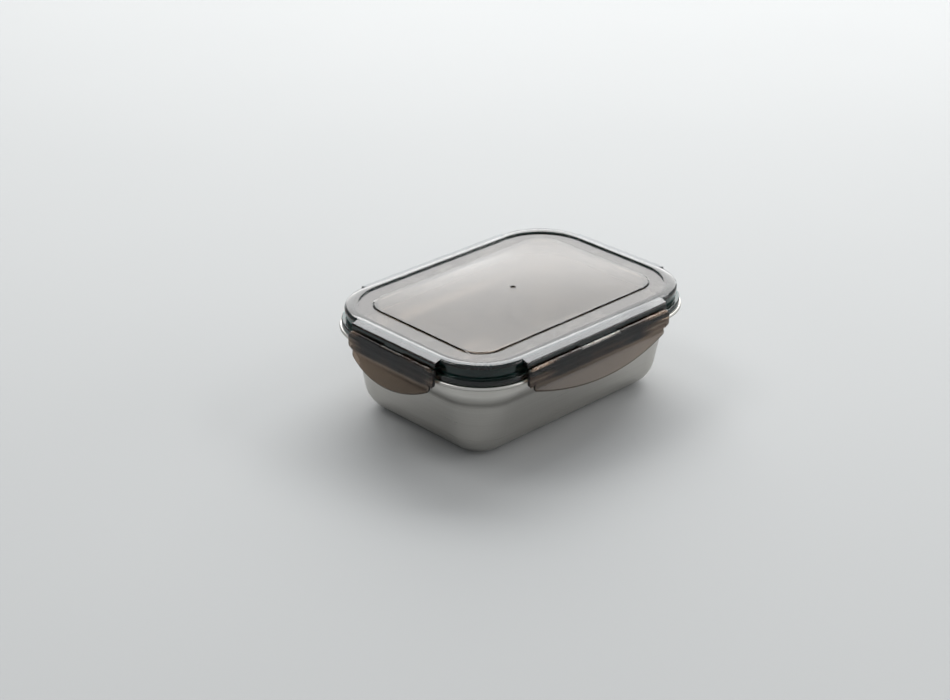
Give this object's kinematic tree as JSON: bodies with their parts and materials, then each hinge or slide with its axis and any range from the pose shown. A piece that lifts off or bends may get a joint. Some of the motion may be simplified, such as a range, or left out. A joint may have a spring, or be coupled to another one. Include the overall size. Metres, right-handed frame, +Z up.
{
  "type": "lunch box",
  "caption": "Rectangular steel lunch box with a flat clear tinted lid, a seal ring and hinged clip latches on all sides that hook under the hemmed rim.",
  "frame": {"origin": "middle of the tub's flat underside", "axes": "+X along the long side, +Y towards the back long side, +Z up through the lid"},
  "size_m": [0.2002, 0.1494, 0.0682],
  "materials": {
    "steel": "satin brushed",
    "smoke_lid": "glossy smoke-tinted clear",
    "smoke_latch": "glossy smoke-tinted clear",
    "silicone": "matte",
    "pin_steel": "bright"
  },
  "bodies": {
    "tub": {"tub": "steel"},
    "lid": {"lid": "smoke_lid", "gasket": "silicone", "hinge_pin_front": "pin_steel", "hinge_pin_back": "pin_steel", "hinge_pin_left": "pin_steel", "hinge_pin_right": "pin_steel"},
    "latch_front": {"latch_front": "smoke_latch"},
    "latch_back": {"latch_back": "smoke_latch"},
    "latch_left": {"latch_left": "smoke_latch"},
    "latch_right": {"latch_right": "smoke_latch"}
  },
  "joints": [
    {"name": "lid_lift", "type": "slide", "parent": "tub", "child": "lid", "axis": [0, 0, 1], "range_m": [0, 0.07]},
    {"name": "latch_front_hinge", "type": "hinge", "parent": "lid", "child": "latch_front", "pos_m": [0, -0.0684, 0.0584], "axis": [-1, 0, 0], "range_deg": [-7, 110]},
    {"name": "latch_back_hinge", "type": "hinge", "parent": "lid", "child": "latch_back", "pos_m": [0, 0.0684, 0.0584], "axis": [1, 0, 0], "range_deg": [-7, 110]},
    {"name": "latch_left_hinge", "type": "hinge", "parent": "lid", "child": "latch_left", "pos_m": [-0.0938, 0, 0.0584], "axis": [0, 1, 0], "range_deg": [-7, 110]},
    {"name": "latch_right_hinge", "type": "hinge", "parent": "lid", "child": "latch_right", "pos_m": [0.0938, 0, 0.0584], "axis": [0, -1, 0], "range_deg": [-7, 110]}
  ]
}
